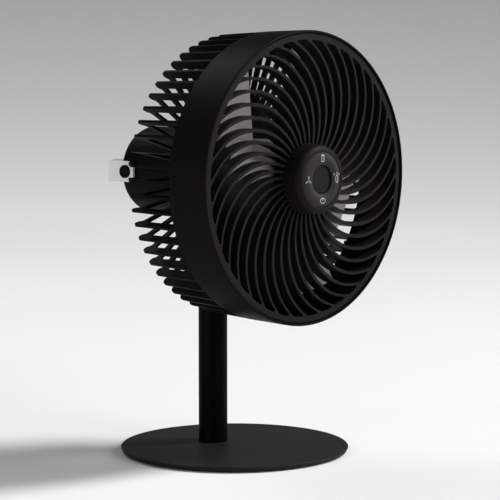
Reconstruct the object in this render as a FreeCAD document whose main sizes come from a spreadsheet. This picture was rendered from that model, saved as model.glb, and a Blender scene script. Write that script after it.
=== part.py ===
import FreeCAD, Part
import math
import os
import re

import Sketcher
from FreeCAD import Placement, Rotation, Vector

# Cordless table fan. Millimetres, +Z up, the fan blows towards -Y.
# The origin is the centre of the base's underside.
# Head pieces are drawn along the fan's own axis: local z runs backward from the front lip,
# local x is to the right seen from the front, and local y points down.

SIZES = [
    # Stand
    ("base_radius", 88.3, "rim of the base plate"),
    ("base_thick", 3.6, "steel base plate"),
    ("base_draft", 1.4, "how far the rim leans in towards the floor"),
    ("base_round", 0.9, "rounding of the upper rim"),
    ("foot_thick", 0.8, "rubber pad under the plate"),
    ("foot_radius", 84.0, "rubber pad, which covers the base screws"),
    ("pole_offset", 23.4, "pole axis behind the base's centre"),
    ("pole_radius", 11.25, "outside of the pole"),
    ("pole_wall", 1.5, "wall of the pole"),
    ("plug_fit", 0.05, "clearance of plug and knuckle in the pole"),
    ("plug_length", 20.0, "plug in the pole's foot"),
    ("base_screw_pitch", 5.6, "radius of the base screws' circle"),
    ("base_screw_radius", 2.0, "shank of a base screw"),
    ("base_screw_head", 3.6, "head radius of a base screw"),
    ("base_screw_sink", 2.2, "depth of the head's recess"),
    ("base_screw_reach", 14.0, "shank above the head"),
    ("screw_fit", 0.12, "clearance round a screw"),
    # Tilt joint
    ("axis_height", 214.9, "fan axis above the floor"),
    ("hinge_drop", 47.0, "tilt axis below the fan axis"),
    ("knuckle_radius", 9.0, "round end of the pole's tongue"),
    ("knuckle_width", 9.0, "width of the tongue"),
    ("collar_thick", 3.0, "collar on the pole's top"),
    ("spigot_length", 16.0, "knuckle inside the pole"),
    ("pin_radius", 3.0, "shank of the hinge bolt"),
    ("pin_fit", 0.05, "running clearance of the hinge bolt"),
    ("washer_thick", 1.0, "friction washer"),
    ("washer_radius", 7.8, "outside of a friction washer"),
    ("washer_play", 0.05, "clearance beside a washer"),
    ("ear_thick", 4.0, "one ear under the housing"),
    ("ear_radius", 8.4, "round end of an ear"),
    ("ear_half", 14.0, "half length of an ear at its root"),
    ("bolt_head_radius", 5.4, "head of the hinge bolt"),
    ("bolt_head_thick", 3.0, "head of the hinge bolt"),
    ("nut_radius", 5.6, "corner radius of the hinge nut"),
    ("nut_thick", 4.0, "hinge nut"),
    # Shroud band and front grille
    ("lip_ahead", 100.0, "front lip ahead of the pole axis"),
    ("lip_radius", 110.0, "outside of the shroud at the lip"),
    ("lip_width", 1.7, "front face of the lip"),
    ("lip_round", 0.9, "rounding of the lip"),
    ("band_length", 37.1, "shroud from lip to rear edge"),
    ("band_taper", 1.0, "narrowing of the shroud to the rear"),
    ("groove_depth", 2.6, "shadow groove behind the lip"),
    ("rim_outer", 107.4, "outside of the grille's rim"),
    ("rim_inner", 103.0, "outer end of the slots"),
    ("rim_fit", 0.05, "clearance of the grille in the shroud"),
    ("rim_front", 1.2, "grille's face behind the lip"),
    ("rim_seat", 7.0, "rim's seat behind the lip"),
    ("band_inner", 106.4, "bore of the shroud"),
    ("slat_count", 40.0, "slats of the front grille"),
    ("slat_width", 1.7, "front edge of a slat"),
    ("slat_depth", 10.0, "slat along the axis"),
    ("slat_swirl", 42.0, "turn of a slat from root to rim, degrees"),
    ("slat_bend", 55.0, "radius of a slat's curve"),
    ("slat_lean", 0.98, "turn of a slat per millimetre at the rim, degrees"),
    ("slot_reach", 3.8, "length of the rounding in a slot's sharp corner"),
    ("slot_round", 1.0, "radius of that rounding"),
    ("slat_start", 3.84, "angle of the first slat's root, degrees"),
    # Control pod
    ("pod_radius", 26.4, "foot of the control pod"),
    ("pod_wall", 2.0, "wall of the pod"),
    ("pod_lean", 0.5, "pod side's lean"),
    ("pod_side", 10.4, "straight part of the pod's side"),
    ("pod_height", 13.4, "pod's face ahead of the lip"),
    ("pod_face", 22.0, "outer edge of the pod's face"),
    ("pod_round", 5.6, "radius of the pod's shoulder"),
    ("ring_radius", 20.3, "outside of the symbol ring"),
    ("ring_play", 0.15, "clearance round the symbol ring"),
    ("ring_thick", 2.9, "symbol ring at its edge"),
    ("ring_edge", 0.4, "ring's edges behind the pod's face"),
    ("ring_bulge", 13.9, "radius of the ring's rounded face"),
    ("ring_bore", 11.0, "hole in the symbol ring"),
    ("ring_lip", 2.2, "symbol ring at its bore"),
    ("ledge_width", 1.8, "ledge that carries the symbol ring"),
    ("ledge_thick", 2.0, "thickness of that ledge"),
    ("button_radius", 10.7, "centre button"),
    ("button_sink", 1.2, "button's face behind the ring's bore"),
    ("button_thick", 1.5, "button's cap"),
    ("button_flange", 12.4, "flange that keeps the button in"),
    ("flange_play", 0.3, "button's flange behind the ring"),
    ("flange_web", 0.9, "thickness of that flange"),
    ("button_travel", 0.8, "stroke of the button"),
    ("plunger_radius", 1.7, "plunger of the switch"),
    ("plunger_length", 1.9, "plunger of the switch"),
    ("switch_side", 6.2, "switch body"),
    ("board_thick", 1.6, "circuit boards"),
    ("control_board_radius", 21.8, "board in the pod"),
    ("control_board_front", 6.6, "that board's front ahead of the lip"),
    ("hub_floor", 6.0, "front of the grille's hub floor behind the lip"),
    ("hub_floor_thick", 2.5, "floor of the grille's hub"),
    ("spigot_depth", 4.0, "pod inside the grille's hub"),
    ("pod_fit", 0.1, "clearance of the pod in the hub"),
    ("pod_screw_pitch", 19.6, "radius of the pod screws' circle"),
    ("pod_screw_radius", 1.1, "shank of a pod screw"),
    ("pod_screw_head", 2.2, "head radius of a pod screw"),
    ("pod_screw_length", 8.0, "shank of a pod screw"),
    ("pod_boss", 2.8, "radius of a screw boss in the pod"),
    ("screw_head_thick", 1.6, "head of a small screw"),
    # Rear cage
    ("fin_count", 60.0, "fins of the rear cage"),
    ("fin_thick", 2.0, "thickness of a fin"),
    ("fin_outer", 108.9, "fin's outer edge behind the shroud"),
    ("fin_tip", 107.0, "fin's outer edge at its tip"),
    ("fin_inner", 101.0, "fin's inner edge behind the shroud"),
    ("fin_depth", 4.6, "width of a fin on the cage's back"),
    ("fin_gap", 0.3, "fin behind the shroud's edge"),
    ("cage_back", 82.5, "fin tips behind the lip"),
    ("tip_round", 3.4, "rounding of a fin's tip"),
    ("fin_dip", 3.7, "cage's back ahead of the fin tips"),
    ("fin_sweep", 5.5, "width of the hollow inside the tips"),
    ("fin_corner", 3.0, "inner corner of a fin"),
    ("cage_ring_wall", 3.1, "ring that joins the fins"),
    ("cage_ring_fit", 0.1, "clearance of that ring in the shroud"),
    ("cage_ring_front", 10.0, "ring's reach into the shroud"),
    ("cage_ring_rear", 1.0, "ring's reach behind the shroud"),
    ("cage_screw_count", 6.0, "screws from cage to shroud"),
    ("cage_screw_radius", 1.1, "shank of a cage screw"),
    ("cage_screw_head", 2.1, "head radius of a cage screw"),
    ("cage_screw_reach", 7.0, "shank inside the shroud's boss"),
    ("cage_boss", 2.4, "radius of a screw boss in the shroud"),
    ("boss_gap", 0.5, "screw boss behind the slats"),
    # Rear housing
    ("housing_radius", 34.0, "outside of the rear housing"),
    ("housing_wall", 2.5, "wall of the housing"),
    ("housing_back", 169.9, "housing's back behind the lip"),
    ("housing_round", 7.0, "rounding of the housing's back"),
    ("flange_radius", 41.0, "flange, bulkhead and cage collar"),
    ("flange_thick", 3.0, "flange of the housing"),
    ("flange_front", 66.0, "flange's face behind the lip"),
    ("bulkhead_thick", 4.0, "bulkhead"),
    ("collar_fit", 0.1, "clearance of the cage's collar"),
    ("bulkhead_screw_pitch", 37.5, "radius of the bulkhead screws' circle"),
    ("bulkhead_screw_radius", 1.3, "shank of a bulkhead screw"),
    ("bulkhead_screw_head", 2.5, "head radius of a bulkhead screw"),
    ("bulkhead_screw_reach", 5.5, "shank inside the cage's collar"),
    # Battery and boards
    ("cell_radius", 9.2, "battery cell"),
    ("cell_length", 64.0, "battery cell without its button"),
    ("cell_nub_radius", 3.0, "button of a cell"),
    ("cell_nub", 1.0, "height of that button"),
    ("cell_gap", 0.6, "gap between cells"),
    ("cell_fit", 0.1, "clearance of a cell in its holder"),
    ("holder_floor", 3.0, "floor of a battery holder"),
    ("holder_socket", 4.0, "depth of a holder's sockets"),
    ("holder_fit", 0.15, "clearance of a holder in the housing"),
    ("pack_shoulder", 158.5, "shoulder that stops the pack behind the lip"),
    ("shoulder_width", 4.0, "width of that shoulder"),
    ("spacer_wall", 1.8, "tube ahead of the pack"),
    ("main_board_gap", 0.4, "main board inside the spacer"),
    ("connector_side", 7.0, "lead connectors on the boards"),
    ("connector_height", 5.0, "lead connector on the main board"),
    ("socket_drop", 14.0, "charge socket below the fan axis"),
    ("socket_width", 8.9, "charge socket"),
    ("socket_height", 3.2, "charge socket"),
    ("socket_length", 7.3, "charge socket"),
    ("socket_wall", 0.35, "shell of the charge socket"),
    ("socket_inset", 0.4, "socket's mouth inside the back"),
    ("socket_fit", 0.15, "clearance round the socket"),
    ("charge_board_width", 14.0, "board under the socket"),
    # Axle and motor
    ("axle_radius", 4.0, "hollow axle"),
    ("axle_bore", 2.2, "bore of the axle"),
    ("axle_fit", 0.05, "clearance round the axle and at its shoulder"),
    ("axle_shoulder", 5.4, "shoulder behind the rear bearing"),
    ("axle_flange", 11.0, "flange on the bulkhead"),
    ("axle_flange_thick", 3.0, "that flange"),
    ("bearing_radius", 11.0, "outside of a ball bearing"),
    ("bearing_width", 7.0, "ball bearing"),
    ("bearing_recess", 0.5, "shield's recess in a bearing"),
    ("bearing_race", 1.6, "race of a bearing"),
    ("bearing_fit", 0.03, "clearance of a bearing"),
    ("front_bearing_at", 20.0, "front bearing behind the lip"),
    ("rear_bearing_at", 44.0, "rear bearing behind the lip"),
    ("axle_nut_radius", 6.4, "nut that keeps the bearings on"),
    ("axle_nut_thick", 3.0, "that nut"),
    ("carrier_inner", 14.3, "stator carrier's tube"),
    ("carrier_outer", 16.0, "stator carrier's tube"),
    ("carrier_flange", 24.0, "stator carrier's flange"),
    ("carrier_front", 32.0, "front of the carrier's tube behind the lip"),
    ("carrier_screw_pitch", 20.0, "radius of the carrier screws' circle"),
    ("carrier_screw_radius", 1.3, "shank of a carrier screw"),
    ("carrier_screw_head", 2.4, "head radius of a carrier screw"),
    ("stator_radius", 22.3, "outside of the stator"),
    ("stator_front", 34.0, "front of the stator behind the lip"),
    ("stator_length", 14.0, "stator"),
    ("stator_back_iron", 1.8, "ring that joins the stator's teeth"),
    ("tooth_count", 12.0, "teeth of the stator"),
    ("tooth_width", 2.6, "one tooth"),
    ("coil_thick", 1.0, "winding round a tooth"),
    ("coil_fit", 0.1, "clearance of a winding"),
    ("coil_tip", 0.7, "bare end of a tooth"),
    ("magnet_inner", 23.0, "bore of the magnet ring"),
    ("magnet_fit", 0.05, "clearance of the magnet ring in the hub"),
    # Impeller
    ("hub_radius", 28.0, "impeller's hub"),
    ("hub_wall", 2.0, "wall of the hub"),
    ("hub_front", 14.0, "hub's face behind the lip"),
    ("hub_rear", 57.0, "hub's open end behind the lip"),
    ("hub_face", 3.0, "front wall of the hub"),
    ("hub_round", 3.0, "rounding of the hub's face"),
    ("boss_wall", 2.2, "wall round the bearings"),
    ("boss_step", 1.0, "step between the bearings"),
    ("boss_end", 2.0, "boss behind the rear bearing"),
    ("blade_count", 5.0, "blades"),
    ("blade_radius", 97.0, "tips of the blades"),
    ("blade_half", 29.0, "half the angle of a blade, degrees"),
    ("blade_front", 21.0, "blade's front edge behind the lip"),
    ("blade_rear", 56.0, "blade's rear edge behind the lip, at its root"),
    ("blade_tip_rear", 47.5, "blade's rear edge behind the lip, at its tip"),
    ("blade_root_thick", 3.4, "blade at its root"),
    ("blade_tip_thick", 2.2, "blade at its tip"),
    ("blade_root_bend", 70.0, "camber radius at the root"),
    ("blade_tip_bend", 170.0, "camber radius at the tip"),
    ("blade_turn", 39.5, "blade's middle left of the top, degrees"),
    ("cap_radius", 15.0, "hub cap"),
    ("cap_thick", 1.6, "hub cap's face"),
    ("cap_spigot", 5.0, "hub cap inside the hub"),
    ("cap_wall", 1.4, "wall of that spigot"),
    ("cap_hole", 4.5, "hole for the axle"),
    ("lead_radius", 1.6, "signal lead"),
    # Carry strap
    ("strap_height", 16.2, "width of the strap"),
    ("strap_thick", 2.0, "strap"),
    ("strap_off", 1.2, "strap beside the housing"),
    ("strap_reach", 18.9, "strap behind the housing"),
    ("strap_corner", 16.0, "bend of the strap"),
    ("strap_shoulder", 155.4, "end of the strap's full width behind the lip"),
    ("strap_tip", 150.55, "strap's narrow tip behind the lip"),
    ("tip_height", 9.0, "strap's narrow tip"),
    ("stud_at", 158.55, "stud behind the lip"),
    ("stud_head", 5.0, "head radius of a stud"),
    ("stud_head_thick", 2.2, "head of a stud"),
    ("stud_radius", 2.2, "shank of a stud"),
    ("stud_fit", 0.1, "clearance of a stud"),
    ("stud_reach", 3.2, "shank inside the housing"),
    ("stud_boss", 6.2, "seat of the strap on the housing"),
    ("lug_height", 2.5, "lug beside the strap's tip"),
    ("lug_gap", 0.3, "clearance between lug and tip"),
]

doc = FreeCAD.newDocument("table_fan")
sheet = doc.addObject("Spreadsheet::Sheet", "Sizes")
for row, (name, size, note) in enumerate(SIZES, start=1):
    sheet.set("A%d" % row, name)
    sheet.set("B%d" % row, str(size))
    sheet.set("C%d" % row, note)
    sheet.setAlias("B%d" % row, name)
doc.recompute()

NAMES = {name for name, size, note in SIZES}
WORD = re.compile(r"[a-z][a-z_0-9]*")

# Places worked out from the sizes
BASE_TOP = "(foot_thick + base_thick)"
LIP_Y = "(pole_offset - lip_ahead)"
HINGE_Z = "(axis_height - hinge_drop)"
POLE_TOP = "(axis_height - hinge_drop - knuckle_radius - collar_thick)"
PLUG_RADIUS = "(pole_radius - pole_wall - plug_fit)"
EAR_IN = "(knuckle_width / 2 + washer_thick + 2 * washer_play)"
EAR_OUT = "(knuckle_width / 2 + washer_thick + 2 * washer_play + ear_thick)"
HOUSING_BORE = "(housing_radius - housing_wall)"
BULKHEAD_FRONT = "(flange_front - bulkhead_thick)"
COLLAR_FRONT = "(flange_front + flange_thick)"
CAGE_FLAT = "(cage_back - fin_dip)"
CAGE_RING_OUTER = "(band_inner - cage_ring_fit)"
CAGE_RING_INNER = "(band_inner - cage_ring_fit - cage_ring_wall)"
CAGE_SCREW_PITCH = "(band_inner - cage_ring_fit - cage_ring_wall / 2)"
CAGE_RING_BACK = "(band_length + cage_ring_rear)"
CAGE_SCREW_START = "(180 / cage_screw_count + 180 / fin_count)"
HOLDER_THICK = "(holder_floor + holder_socket)"
CELL_PITCH = "((2 * cell_radius + cell_gap) / sqrt(3))"
PACK_FRONT = "(pack_shoulder - 2 * holder_floor - cell_length - cell_nub)"
BOARD_FRONT = "(pack_shoulder - 2 * holder_floor - cell_length - cell_nub - board_thick)"
LEAD_REAR = "(%s - connector_height)" % BOARD_FRONT
BACK_INSIDE = "(housing_back - housing_wall)"
AXLE_FLANGE_FRONT = "(flange_front - bulkhead_thick - axle_flange_thick)"
BOSS_RADIUS = "(bearing_radius + bearing_fit + boss_wall)"
BOARD_REAR = "(board_thick - control_board_front)"
RING_BACK = "(ring_thick - pod_height)"
RING_BORE_BACK = "(ring_edge + ring_lip - pod_height)"
BUTTON_FACE = "(ring_edge + button_sink - pod_height)"
FLANGE_FRONT = "(%s + flange_play)" % RING_BORE_BACK
FLANGE_BACK = "(%s + flange_play + flange_web)" % RING_BORE_BACK
STRAP_IN = "(housing_radius + strap_off)"
STRAP_OUT = "(housing_radius + strap_off + strap_thick)"
STRAP_BACK = "(housing_back + strap_reach)"


def bound(text):
    """Turn the size names of an expression into references to the sheet."""
    return WORD.sub(lambda m: "Sizes." + m.group() if m.group() in NAMES else m.group(), text)


def value(text):
    """Work out an expression from the sheet."""
    return float(sheet.evalExpression(bound(text)))


def piece(label, place="head", turned=0.0):
    """Start a sub-part in the head's, the pole's or the base's own frame."""
    body = doc.addObject("PartDesign::Body", label)
    body.Label = label
    if place == "head":
        turn = Rotation(Vector(1, 0, 0), -90) * Rotation(Vector(0, 0, 1), turned)
        body.Placement = Placement(Vector(0, 0, 0), turn)
        body.setExpression("Placement.Base.y", bound(LIP_Y))
        body.setExpression("Placement.Base.z", bound("axis_height"))
    if place == "pole":
        body.setExpression("Placement.Base.y", bound("pole_offset"))
    return body


def sketch_on(body, name, role, offset="0"):
    """A sketch on one of the body's own origin planes, moved along its normal."""
    sketch = body.newObject("Sketcher::SketchObject", name)
    plane = next(item for item in body.Origin.OriginFeatures if item.Role == role)
    sketch.AttachmentSupport = [(plane, "")]
    sketch.MapMode = "FlatFace"
    if offset != "0":
        sketch.setExpression("AttachmentOffset.Base.z", bound(offset))
    return sketch


def pin(sketch, constraint, text):
    """Add a constraint and bind its size to an expression."""
    index = sketch.addConstraint(constraint)
    sketch.setExpression("Constraints[%d]" % index, bound(text))


def pin_point(sketch, geo, pos, x, y):
    """Tie one point of a sketch to its place."""
    if x == "0":
        sketch.addConstraint(Sketcher.Constraint("PointOnObject", geo, pos, -2))
    else:
        pin(sketch, Sketcher.Constraint("DistanceX", -1, 1, geo, pos, value(x)), x)
    if y == "0":
        sketch.addConstraint(Sketcher.Constraint("PointOnObject", geo, pos, -1))
    else:
        pin(sketch, Sketcher.Constraint("DistanceY", -1, 1, geo, pos, value(y)), y)


def minor_arc(start, end, radius):
    """The short arc of a given radius, counter-clockwise from start to end."""
    chord = end - start
    left = Vector(-chord.y, chord.x, 0).normalize()
    rise = math.sqrt(max(radius ** 2 - (chord.Length / 2) ** 2, 0.0))
    centre = (start + end) * 0.5 + left * rise
    first = math.atan2(start.y - centre.y, start.x - centre.x)
    last = math.atan2(end.y - centre.y, end.x - centre.x)
    return Part.ArcOfCircle(Part.Circle(centre, Vector(0, 0, 1), radius), first, last)


def outline(sketch, path):
    """Draw a closed outline. A point is (x, y) or (x, y, radius): a radius bends the side that leaves
    the point into an arc, counter-clockwise, or clockwise where a minus stands before it."""
    corners = [Vector(value(point[0]), value(point[1]), 0) for point in path]
    sides = []
    for index, point in enumerate(path):
        start = corners[index]
        end = corners[(index + 1) % len(path)]
        if len(point) == 2:
            sides.append((sketch.addGeometry(Part.LineSegment(start, end)), 1, 2))
            continue
        bend = point[2].lstrip("-")
        if point[2].startswith("-"):
            sides.append((sketch.addGeometry(minor_arc(end, start, value(bend))), 2, 1))
        else:
            sides.append((sketch.addGeometry(minor_arc(start, end, value(bend))), 1, 2))
        geo = sides[-1][0]
        if abs((end - start).Length - 2 * value(bend)) > 1e-6:
            pin(sketch, Sketcher.Constraint("Radius", geo, value(bend)), bend)
        elif abs(end.x - start.x) < 1e-6:
            pin(sketch, Sketcher.Constraint("DistanceX", -1, 1, geo, 3, start.x), point[0])
        else:
            pin(sketch, Sketcher.Constraint("DistanceY", -1, 1, geo, 3, start.y), point[1])
    for index, (geo, first, last) in enumerate(sides):
        follower, start, unused = sides[(index + 1) % len(sides)]
        sketch.addConstraint(Sketcher.Constraint("Coincident", geo, last, follower, start))
    for point, (geo, first, last) in zip(path, sides):
        pin_point(sketch, geo, first, point[0], point[1])


def circle(sketch, x, y, radius):
    """Draw a circle at a place."""
    centre = Vector(value(x), value(y), 0)
    geo = sketch.addGeometry(Part.Circle(centre, Vector(0, 0, 1), value(radius)))
    pin(sketch, Sketcher.Constraint("Radius", geo, value(radius)), radius)
    pin_point(sketch, geo, 3, x, y)


def box_path(x_low, x_high, y_low, y_high):
    """A rectangle's corners."""
    return [(x_low, y_low), (x_high, y_low), (x_high, y_high), (x_low, y_high)]


def turned(body, name, path, kind="PartDesign::Revolution", axis_at="0"):
    """Turn a profile of (radius, height) points round the body's z axis, or round a line beside it."""
    sketch = sketch_on(body, name + "_profile", "XZ_Plane")
    axis = "V_Axis"
    if axis_at != "0":
        away = value(axis_at)
        line = Part.LineSegment(Vector(away, 0, 0), Vector(away, 1, 0))
        geo = sketch.addGeometry(line, True)
        pin_point(sketch, geo, 1, axis_at, "0")
        pin_point(sketch, geo, 2, axis_at, "1")
        axis = "Axis0"
        path = [("%s + %s" % (axis_at, point[0]),) + tuple(point[1:]) for point in path]
    outline(sketch, path)
    feature = body.newObject(kind, name)
    feature.Profile = sketch
    feature.ReferenceAxis = (sketch, [axis])
    feature.Angle = 360
    return feature


def raised(body, name, role, draw, length, offset="0", kind="PartDesign::Pad"):
    """Raise or sink what draw puts on a plane: from the offset along the plane's normal, or centred on it."""
    sketch = sketch_on(body, name + "_outline", role, offset)
    draw(sketch)
    feature = body.newObject(kind, name)
    feature.Profile = sketch
    feature.setExpression("Length", bound(length))
    if kind == "PartDesign::Pocket":
        feature.Reversed = True
    return feature


def middle(feature):
    """Spread a raised or sunk feature evenly to both sides of its plane."""
    feature.SideType = "Symmetric"
    return feature


def around(body, name, features, count):
    """Repeat features round the body's z axis."""
    pattern = body.newObject("PartDesign::PolarPattern", name)
    pattern.Originals = features
    axis = next(item for item in body.Origin.OriginFeatures if item.Role == "Z_Axis")
    pattern.Axis = (axis, [""])
    pattern.Angle = 360
    pattern.setExpression("Occurrences", bound(count))
    body.Tip = pattern
    return pattern


def hole_ring(body, name, pitch, radius, count, offset, length, start="0", kind="PartDesign::Pocket"):
    """Holes, or posts, on a circle round the body's z axis."""
    def draw(sketch):
        if start == "0":
            circle(sketch, pitch, "0", radius)
        else:
            circle(sketch, "%s * cos(%s)" % (pitch, start), "%s * sin(%s)" % (pitch, start), radius)
    first = raised(body, name, "XY_Plane", draw, length, offset, kind)
    return around(body, name + "_ring", [first], count)


def screw_ring(label, place, turned_by, pitch, count, radius, head_radius, seat, reach, head):
    """Like screws on a circle: each has its head's seat, its shank's end and its head's outer face on z."""
    body = piece(label, place, turned_by)
    screw = turned(body, label + "_one", [("0", head), (head_radius, head), (head_radius, seat),
                                          (radius, seat), (radius, reach), ("0", reach)], axis_at=pitch)
    around(body, label + "_all", [screw], count)
    return body


# Stand

def base_plate():
    body = piece("base_plate", "base")
    turned(body, "base_disc", [("0", "foot_thick"), ("base_radius - base_draft", "foot_thick"),
                               ("base_radius", BASE_TOP + " - base_round", "base_round"),
                               ("base_radius - base_round", BASE_TOP), ("0", BASE_TOP)])
    for name, radius, length in (("base_screw_hole", "base_screw_radius + screw_fit", "base_thick"),
                                 ("base_screw_recess", "base_screw_head + screw_fit", "base_screw_sink")):
        def draw(sketch):
            for angle in (0, 120, 240):
                circle(sketch, "base_screw_pitch * cos(%d)" % angle,
                       "pole_offset + base_screw_pitch * sin(%d)" % angle, radius)
        raised(body, name, "XY_Plane", draw, length, "foot_thick", "PartDesign::Pocket")


def foot_pad():
    body = piece("foot_pad", "base")
    turned(body, "foot_disc", box_path("0", "foot_radius", "0", "foot_thick"))


def base_screws():
    seat = "(foot_thick + base_screw_sink)"
    screw_ring("base_screws", "pole", 0, "base_screw_pitch", "3", "base_screw_radius", "base_screw_head",
               seat, seat + " + base_screw_reach", seat + " - screw_head_thick")


def pole_plug():
    body = piece("pole_plug", "pole")
    top = BASE_TOP + " + plug_length"
    turned(body, "plug_slug", [("0", BASE_TOP), (PLUG_RADIUS, BASE_TOP), (PLUG_RADIUS, top), ("0", top)])
    hole_ring(body, "plug_thread", "base_screw_pitch", "base_screw_radius + screw_fit", "3", BASE_TOP,
              "base_screw_reach")


def pole_tube():
    body = piece("pole_tube", "pole")
    inner = "pole_radius - pole_wall"
    turned(body, "pole_wall_tube", [(inner, BASE_TOP), ("pole_radius", BASE_TOP),
                                    ("pole_radius", POLE_TOP), (inner, POLE_TOP)])


def tilt_knuckle():
    body = piece("tilt_knuckle", "pole")
    low = POLE_TOP + " - spigot_length"
    collar = POLE_TOP + " + collar_thick"
    turned(body, "knuckle_spigot", [("0", low), (PLUG_RADIUS, low), (PLUG_RADIUS, POLE_TOP),
                                    ("pole_radius", POLE_TOP), ("pole_radius", collar), ("0", collar)])
    tongue = [("-knuckle_radius", POLE_TOP), ("knuckle_radius", POLE_TOP),
              ("knuckle_radius", HINGE_Z, "knuckle_radius"), ("-knuckle_radius", HINGE_Z)]
    middle(raised(body, "knuckle_tongue", "YZ_Plane", lambda s: outline(s, tongue), "knuckle_width"))
    middle(raised(body, "knuckle_bore", "YZ_Plane", lambda s: circle(s, "0", HINGE_Z, "pin_radius + pin_fit"),
                  "2 * knuckle_width", kind="PartDesign::Pocket"))


def friction_washers():
    body = piece("friction_washers", "pole")

    def draw(sketch):
        circle(sketch, "0", HINGE_Z, "washer_radius")
        circle(sketch, "0", HINGE_Z, "pin_radius + pin_fit")
    washer = raised(body, "washer", "YZ_Plane", draw, "washer_thick", "knuckle_width / 2 + washer_play")
    around(body, "washer_pair", [washer], "2")


def hinge_bolt():
    body = piece("hinge_bolt", "pole")
    raised(body, "bolt_head", "YZ_Plane", lambda s: circle(s, "0", HINGE_Z, "bolt_head_radius"),
           "bolt_head_thick", "-%s - bolt_head_thick" % EAR_OUT)
    raised(body, "bolt_shank", "YZ_Plane", lambda s: circle(s, "0", HINGE_Z, "pin_radius"),
           "2 * %s + nut_thick + 1" % EAR_OUT, "-%s" % EAR_OUT)


def hinge_nut():
    body = piece("hinge_nut", "pole")

    def draw(sketch):
        outline(sketch, [("nut_radius * cos(%d)" % angle, "%s + nut_radius * sin(%d)" % (HINGE_Z, angle))
                         for angle in range(15, 375, 60)])
        circle(sketch, "0", HINGE_Z, "pin_radius + pin_fit")
    raised(body, "nut_hexagon", "YZ_Plane", draw, "nut_thick", EAR_OUT)


# Shroud and grilles

def shroud_ring():
    body = piece("shroud_ring")
    turned(body, "shroud_band", [
        ("lip_radius - lip_width", "0"), ("lip_radius - lip_round", "0", "lip_round"),
        ("lip_radius", "lip_round"), ("lip_radius - band_taper", "band_length"),
        ("band_inner", "band_length"), ("band_inner", "rim_seat"),
        ("rim_outer + rim_fit", "rim_seat"), ("rim_outer + rim_fit", "groove_depth"),
        ("lip_radius - lip_width", "groove_depth")])
    start = CAGE_SCREW_START
    front = "(rim_front + slat_depth + boss_gap)"
    length = "band_length - cage_ring_front - " + front
    hole_ring(body, "shroud_boss", CAGE_SCREW_PITCH, "cage_boss", "cage_screw_count", front, length,
              start, "PartDesign::Pad")
    hole_ring(body, "shroud_thread", CAGE_SCREW_PITCH, "cage_screw_radius + screw_fit", "cage_screw_count",
              "band_length - cage_ring_front - cage_screw_reach", "cage_screw_reach", start)


def front_grille():
    body = piece("front_grille")
    root = "(pod_radius - pod_wall / 2)"
    end = "((rim_inner + rim_outer) / 2)"
    root_half = "90 * slat_width / (pi * %s)" % root
    slant = "sqrt(1 + (pi * slat_lean * %s / 180) ^ 2)" % end
    end_half = "90 * slat_width * %s / (pi * %s)" % (slant, end)
    corner = "(slat_start - slat_swirl + %s + slat_lean * (%s - rim_inner))" % (end_half, end)
    reach = corner + " + 180 * slot_reach / (pi * rim_inner)"
    angles = [(root, "slat_start - " + root_half), (end, "slat_start - slat_swirl - " + end_half),
              (end, reach), ("rim_inner", reach),
              ("(rim_inner - 0.49 * slot_reach)", corner + " + 0.49 * slat_lean * slot_reach"),
              (root, "slat_start + " + root_half)]
    bends = [("-slat_bend",), (), (), ("-slot_round",), ("slat_bend",), ()]
    slat_path = [("%s * cos(%s)" % (radius, angle), "%s * sin(%s)" % (radius, angle)) + bend
                 for (radius, angle), bend in zip(angles, bends)]
    slat = raised(body, "slat", "XY_Plane", lambda s: outline(s, slat_path), "slat_depth", "rim_front")
    around(body, "slats", [slat], "slat_count")
    turned(body, "grille_rim", box_path("rim_inner", "rim_outer", "rim_front", "rim_seat"))
    floor_back = "hub_floor + hub_floor_thick"
    wall = "pod_radius - pod_wall"
    hole = "axle_radius + axle_fit"
    turned(body, "grille_hub", [
        (wall, "rim_front"), ("pod_radius", "rim_front"), ("pod_radius", "rim_front + slat_depth"),
        (wall, "rim_front + slat_depth"), (wall, floor_back), (hole, floor_back), (hole, "hub_floor"),
        (wall, "hub_floor")])
    hole_ring(body, "hub_screw_hole", "pod_screw_pitch", "pod_screw_radius + screw_fit", "3", "hub_floor",
              "hub_floor_thick")


def rear_cage():
    body = piece("rear_cage")
    front = "(band_length + fin_gap)"
    flat_front = "(%s - fin_depth)" % CAGE_FLAT
    blend = "((fin_sweep ^ 2 + fin_dip ^ 2) / (2 * fin_dip))"
    inside = "(flange_radius - 1)"
    fin_path = [("fin_inner", front), ("fin_outer", front),
                ("fin_tip", "cage_back - tip_round", "tip_round"),
                ("fin_tip - tip_round - tip_round * fin_sweep / " + blend,
                 "cage_back - tip_round * fin_dip / " + blend, "-(%s - tip_round)" % blend),
                ("fin_tip - tip_round - fin_sweep", CAGE_FLAT),
                (inside, CAGE_FLAT), (inside, flat_front),
                ("fin_inner - fin_corner", flat_front, "-fin_corner"),
                ("fin_inner", flat_front + " - fin_corner")]
    fin = middle(raised(body, "fin", "XZ_Plane", lambda s: outline(s, fin_path), "fin_thick"))
    around(body, "fins", [fin], "fin_count")
    turned(body, "cage_ring", box_path(CAGE_RING_INNER, CAGE_RING_OUTER, "band_length - cage_ring_front",
                                       CAGE_RING_BACK))
    turned(body, "cage_collar", box_path("housing_radius + collar_fit", "flange_radius", COLLAR_FRONT,
                                         CAGE_FLAT))
    hole_ring(body, "cage_screw_hole", CAGE_SCREW_PITCH, "cage_screw_radius + screw_fit", "cage_screw_count",
              "band_length - cage_ring_front", "cage_ring_front + cage_ring_rear", CAGE_SCREW_START)
    hole_ring(body, "collar_thread", "bulkhead_screw_pitch", "bulkhead_screw_radius + screw_fit", "4",
              COLLAR_FRONT, "bulkhead_screw_reach", "45")


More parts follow.
